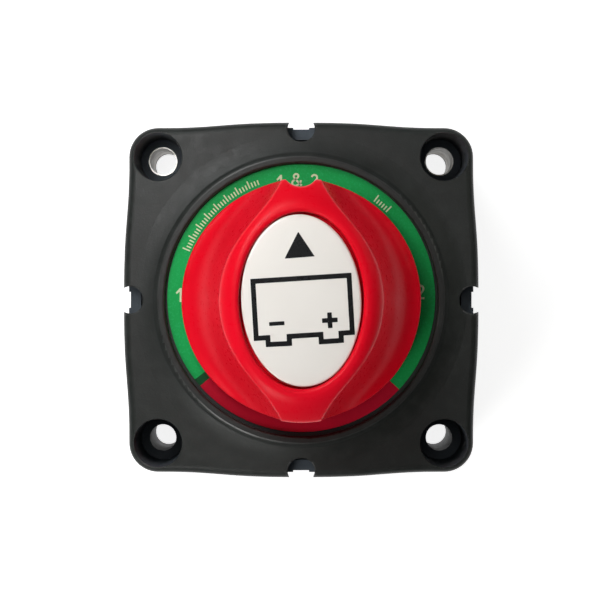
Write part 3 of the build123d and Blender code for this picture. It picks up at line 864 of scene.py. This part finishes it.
M = {}
M["body_plastic"] = moulded("body_plastic", (0.0172, 0.0200, 0.0184), (0.0232, 0.0270, 0.0252), (0.38, 0.52), 2300.0, 3.0e-5, 0.33)
# Painted highlight: a lighter, glossier copy of the body plastic for edges that catch the light.
M["body_edge_highlight"] = moulded("body_edge_highlight", (0.028, 0.031, 0.030), (0.040, 0.043, 0.042), (0.28, 0.40), 2300.0, 1.2e-5, 0.5)
M["cover_plastic"] = moulded("cover_plastic", (0.017, 0.018, 0.019), (0.021, 0.022, 0.023), (0.48, 0.62), 2600.0, 3.0e-5, 0.45)
# Painted light: a lighter, bluer copy of the body plastic for the inside of the wells, the notch walls and the cover's
# tongue tops, which lie in shade.
M["bore_painted_light"] = moulded("bore_painted_light", (0.058, 0.070, 0.084), (0.074, 0.089, 0.106), (0.45, 0.60), 2600.0, 2.4e-5, 0.25)
M["sleeve_steel"] = metal("sleeve_steel", (0.20, 0.19, 0.165), (0.31, 0.295, 0.26), (0.30, 0.48), (1, 1, 0.2), (0.10, 0.072, 0.036), (0.48, 0.64))
M["sleeve_rim"] = metal("sleeve_rim", (0.36, 0.35, 0.33), (0.52, 0.51, 0.48), (0.30, 0.42), (3, 3, 1), (0.22, 0.18, 0.12), (0.50, 0.72))
M["knob_plastic"] = gloss("knob_plastic", (0.78, 0.0035, 0.016), (0.86, 0.0055, 0.022), (0.26, 0.38), 700.0, 1.0e-5, 0.0, 0.0, spec=0.10)
M["insert_plastic"] = gloss("insert_plastic", (0.85, 0.81, 0.76), (0.90, 0.86, 0.81), (0.12, 0.22), 500.0, 1.4e-5, 0.3)
M["screw_steel"] = metal("screw_steel", (0.52, 0.53, 0.54), (0.66, 0.66, 0.66), (0.28, 0.42), (1, 1, 6), (0.45, 0.42, 0.33), (0.6, 0.85))
M["rotor_plastic"] = moulded("rotor_plastic", (0.035, 0.035, 0.038), (0.045, 0.045, 0.048), (0.4, 0.55), 1800.0, 2.0e-5)
M["wheel_plastic"] = moulded("wheel_plastic", (0.66, 0.62, 0.52), (0.73, 0.69, 0.60), (0.32, 0.45), 1500.0, 1.0e-5)
M["spring_steel"] = metal("spring_steel", (0.42, 0.43, 0.45), (0.55, 0.56, 0.58), (0.22, 0.35), (6, 1, 1), (0.24, 0.23, 0.28), (0.6, 0.8))
M["washer_plastic"] = moulded("washer_plastic", (0.70, 0.70, 0.66), (0.78, 0.78, 0.75), (0.35, 0.5), 1500.0, 1.0e-5)
M["seal_rubber"] = moulded("seal_rubber", (0.012, 0.012, 0.012), (0.018, 0.018, 0.018), (0.55, 0.75), 1600.0, 2.5e-5, 0.35)
M["copper"] = metal("copper", (0.78, 0.36, 0.20), (0.86, 0.46, 0.29), (0.25, 0.4), (1, 5, 1), (0.34, 0.15, 0.08), (0.52, 0.78))
M["base_plastic"] = moulded("base_plastic", (0.028, 0.027, 0.026), (0.037, 0.036, 0.034), (0.5, 0.65), 1400.0, 4.0e-5)
M["stud_tinned"] = metal("stud_tinned", (0.58, 0.57, 0.53), (0.70, 0.69, 0.65), (0.25, 0.4), (1, 1, 5), (0.40, 0.32, 0.20), (0.58, 0.85))
M["nut_steel"] = metal("nut_steel", (0.56, 0.56, 0.55), (0.68, 0.68, 0.67), (0.22, 0.38), (5, 1, 1), (0.36, 0.34, 0.30), (0.62, 0.9))


def label_material():
    """Printed foil: green, a red sector at the bottom, and a thin darker strip at its left end."""
    m = Mat("label_foil").set(Specular_IOR_Level=0.12)
    x, y, z = m.xyz()
    yy = m.math("SUBTRACT", y, 0.00035)
    ang = m.math("MULTIPLY", m.math("ARCTAN2", yy, x), 180 / math.pi)
    dots = m.noise(2600.0, 2.0, 0.6, (0.3, 0.3, 0.3))
    big = m.noise(90.0, 3.0, 0.5, (0.5, 0.1, 0.3))
    green = m.mix(m.map(big, 0, 1), (0.007, 0.350, 0.074), (0.009, 0.400, 0.088))
    green = m.mix(m.map(dots, 0.0, 0.45, 0.5, 0.75), green, (0.03, 0.52, 0.17))
    red = m.mix(m.map(big, 0, 1), (0.48, 0.0012, 0.022), (0.58, 0.0018, 0.028))
    red = m.mix(m.map(dots, 0.0, 0.25, 0.5, 0.75), red, (0.66, 0.012, 0.04))
    dark = m.mix(m.map(dots, 0.0, 0.3, 0.5, 0.75), (0.006, 0.075, 0.022), (0.012, 0.12, 0.04))
    in_red = m.math("MULTIPLY", m.math("GREATER_THAN", ang, -139.0), m.math("LESS_THAN", ang, -43.0))
    in_dark = m.math("MULTIPLY", m.math("GREATER_THAN", ang, -142.6), m.math("LESS_THAN", ang, -139.0))
    col = m.mix(in_dark, green, dark)
    col = m.mix(in_red, col, red)
    return m.out(col, m.map(big, 0.42, 0.55), m.bump(dots, 5e-6, 0.7))


def ink(name, c0, c1, rough=(0.4, 0.55)):
    m = Mat(name).set(Specular_IOR_Level=0.15)
    fine = m.noise(3500.0, 3.0, 0.6)
    big = m.noise(300.0, 3.0, 0.5, (0.2, 0.2, 0.6))
    col = m.mix(m.map(fine, 0, 1), c0, c1)
    return m.out(col, m.map(big, *rough), m.bump(fine, 3e-6, 0.6))


M["label_foil"] = label_material()
M["ink_cream"] = ink("ink_cream", (0.60, 0.72, 0.44), (0.70, 0.80, 0.54))
M["ink_black"] = ink("ink_black", (0.004, 0.004, 0.0045), (0.010, 0.010, 0.011), (0.25, 0.35))


def paint(ob, mat):
    ob.data.materials.clear()
    ob.data.materials.append(mat)


def paint_faces(ob, mat, picks):
    """Gives the faces that picks (a test of centre and normal arrays, in millimetres) names a second material."""
    me = ob.data
    n = len(me.polygons)
    co, nm = np.zeros(n * 3), np.zeros(n * 3)
    me.polygons.foreach_get("center", co)
    me.polygons.foreach_get("normal", nm)
    hit = picks(co.reshape(-1, 3) / MM, nm.reshape(-1, 3))
    me.materials.append(mat)
    idx = np.zeros(n, np.int32)
    me.polygons.foreach_get("material_index", idx)
    idx[hit] = len(me.materials) - 1
    me.polygons.foreach_set("material_index", idx)
    me.update()


for part in frame["record"]["subparts"]:
    if part["node"] in NODES:
        paint(NODES[part["node"]], M[part["material_slot"]])
paint(knob, M["knob_plastic"])
paint(insert, M["insert_plastic"])


def in_bores(c, n):
    """Walls and floors of the four screw wells, and the walls of the mid-side notches: faces that get a lighter copy of
    the body plastic as painted light.
    """
    hit = np.zeros(len(c), bool)
    for sx in (-1, 1):
        for sy in (-1, 1):
            hit |= (np.hypot(c[:, 0] - 27.8 * sx, c[:, 1] - 27.8 * sy) < 4.72) & (c[:, 2] < 45.9) & (c[:, 2] > 2.7)
    for nx, ny in ((0, 33.31), (0, -33.31), (33.31, 0), (-33.31, 0)):
        hit |= (np.hypot(c[:, 0] - nx, c[:, 1] - ny) < 2.68) & (c[:, 2] < 45.9) & (c[:, 2] > 20) & (np.abs(n[:, 2]) < 0.5)
    return hit


def highlight_and_wear_edges(c, n):
    """Edges given a lighter, glossier plastic as a painted highlight where they catch the light, with some handling
    wear: mouths of the wells and notches, and the crest of the rim.
    """
    hit = np.zeros(len(c), bool)
    slanted = (n[:, 2] > 0.2) & (n[:, 2] < 0.97)
    for sx in (-1, 1):
        for sy in (-1, 1):
            d = np.hypot(c[:, 0] - 27.8 * sx, c[:, 1] - 27.8 * sy)
            hit |= (d > 4.6) & (d < 4.86) & (c[:, 2] > 45.8) & slanted
    for nx, ny in ((0, 33.31), (0, -33.31), (33.31, 0), (-33.31, 0)):
        d = np.hypot(c[:, 0] - nx, c[:, 1] - ny)
        hit |= (d > 2.6) & (d < 3.02) & (c[:, 2] > 45.2) & slanted
    d = np.hypot(c[:, 0], c[:, 1])
    hit |= (d > 27.6) & (d < 27.95) & (c[:, 2] > 47.1) & slanted
    return hit


# Painted light: the well and notch faces get the lighter copy of the body plastic.
paint_faces(NODES["housing"], M["bore_painted_light"], in_bores)
# Painted highlight: the edge faces get the lighter, glossier copy of the body plastic.
paint_faces(NODES["housing"], M["body_edge_highlight"], highlight_and_wear_edges)
paint_faces(NODES["corner_sleeves"], M["sleeve_rim"], lambda c, n: np.abs(n[:, 2]) > 0.9)
# Painted light: the up-facing tongue tops of the cover get the same lighter plastic as the wells.
paint_faces(NODES["rear_cover"], M["bore_painted_light"], lambda c, n: (c[:, 2] > 6.5) & (n[:, 2] > 0.3))
for ob in prints_knob:
    paint(ob, M["ink_black"])
for ob in prints_label:
    paint(ob, M["ink_cream"])
for ob in studs:
    paint(ob, M["stud_tinned"])


# ------------------------------------------------- floor, light and camera
def floor_mesh():
    s, n = 2.5, 9
    g = np.linspace(-s, s, n)
    v = [(x, y, -0.00006) for x in g for y in g]
    f = [(i * n + j, (i + 1) * n + j, (i + 1) * n + j + 1, i * n + j + 1) for i in range(n - 1) for j in range(n - 1)]
    me = bpy.data.meshes.new("floor")
    me.from_pydata(v, [], f)
    ob = bpy.data.objects.new("floor", me)
    scene.collection.objects.link(ob)
    m = Mat("floor").set(Specular_IOR_Level=0.1, Roughness=0.9, Emission_Strength=0.86)
    m.b.inputs["Emission Color"].default_value = (1, 1, 1, 1)
    col = m.mix(m.map(m.noise(12.0, 3.0, 0.5), 0, 1), (0.80, 0.80, 0.80), (0.83, 0.83, 0.83))
    paint(ob, m.out(col))
    return ob


floor = floor_mesh()


def area(name, at, to, size, power, color=(1, 1, 1), size_y=None):
    li = bpy.data.lights.new(name, "AREA")
    li.energy = power
    li.color = color
    li.shape = "RECTANGLE" if size_y else "DISK"
    li.size = size
    if size_y:
        li.size_y = size_y
    ob = bpy.data.objects.new(name, li)
    scene.collection.objects.link(ob)
    ob.location = at
    d = Vector(to) - Vector(at)
    ob.rotation_euler = d.to_track_quat("-Z", "Y").to_euler()
    ob.visible_camera = False
    return ob


def sky(name, az, el, dist, size, weight, color=(1, 1, 1)):
    """A soft round light at an azimuth and elevation about the face; weight 1 gives a white surface square to it full brightness."""
    a, e = math.radians(az), math.radians(el)
    at = (dist * math.cos(e) * math.cos(a), dist * math.cos(e) * math.sin(a), 0.046 + dist * math.sin(e))
    return area(name, at, (0, 0, 0.046), size, weight * math.pi ** 2 * dist ** 2, color)


sky("key_near", 135, 60, 0.13, 0.05, 0.40, (1.0, 1.0, 1.0))
sky("key_far", 115, 45, 0.45, 0.16, 0.22, (0.97, 1.0, 1.0))
sky("low_left", 240, 40, 0.20, 0.08, 0.32, (1.0, 1.0, 0.98))
sky("low_right", 28, 35, 0.10, 0.04, 0.045, (1.0, 1.0, 0.88))
sky("overhead", 120, 84, 0.50, 0.20, 0.052, (0.98, 0.99, 1.0))

world = bpy.data.worlds.new("studio")
scene.world = world
world.use_nodes = True
world.node_tree.nodes["Background"].inputs["Color"].default_value = (1.0, 0.97, 0.93, 1)
world.node_tree.nodes["Background"].inputs["Strength"].default_value = 0.030

cam = bpy.data.cameras.new("camera")
cam.sensor_width = 36.0
cam.lens = 2803.6 * 36.0 / 600.0
cam.shift_x = 1.9 / 600.0
cam.shift_y = -11.0 / 600.0
cam.clip_start = 0.01
cam.clip_end = 20.0
cam_ob = bpy.data.objects.new("camera", cam)
scene.collection.objects.link(cam_ob)
cam_ob.location = (-0.00060, 0.00212, 0.590)
cam_ob.rotation_euler = (0, 0, 0)
scene.camera = cam_ob
scene.view_settings.view_transform = "Standard"
scene.view_settings.look = "None"
scene.view_settings.exposure = 0.0
scene.view_settings.gamma = 1.0
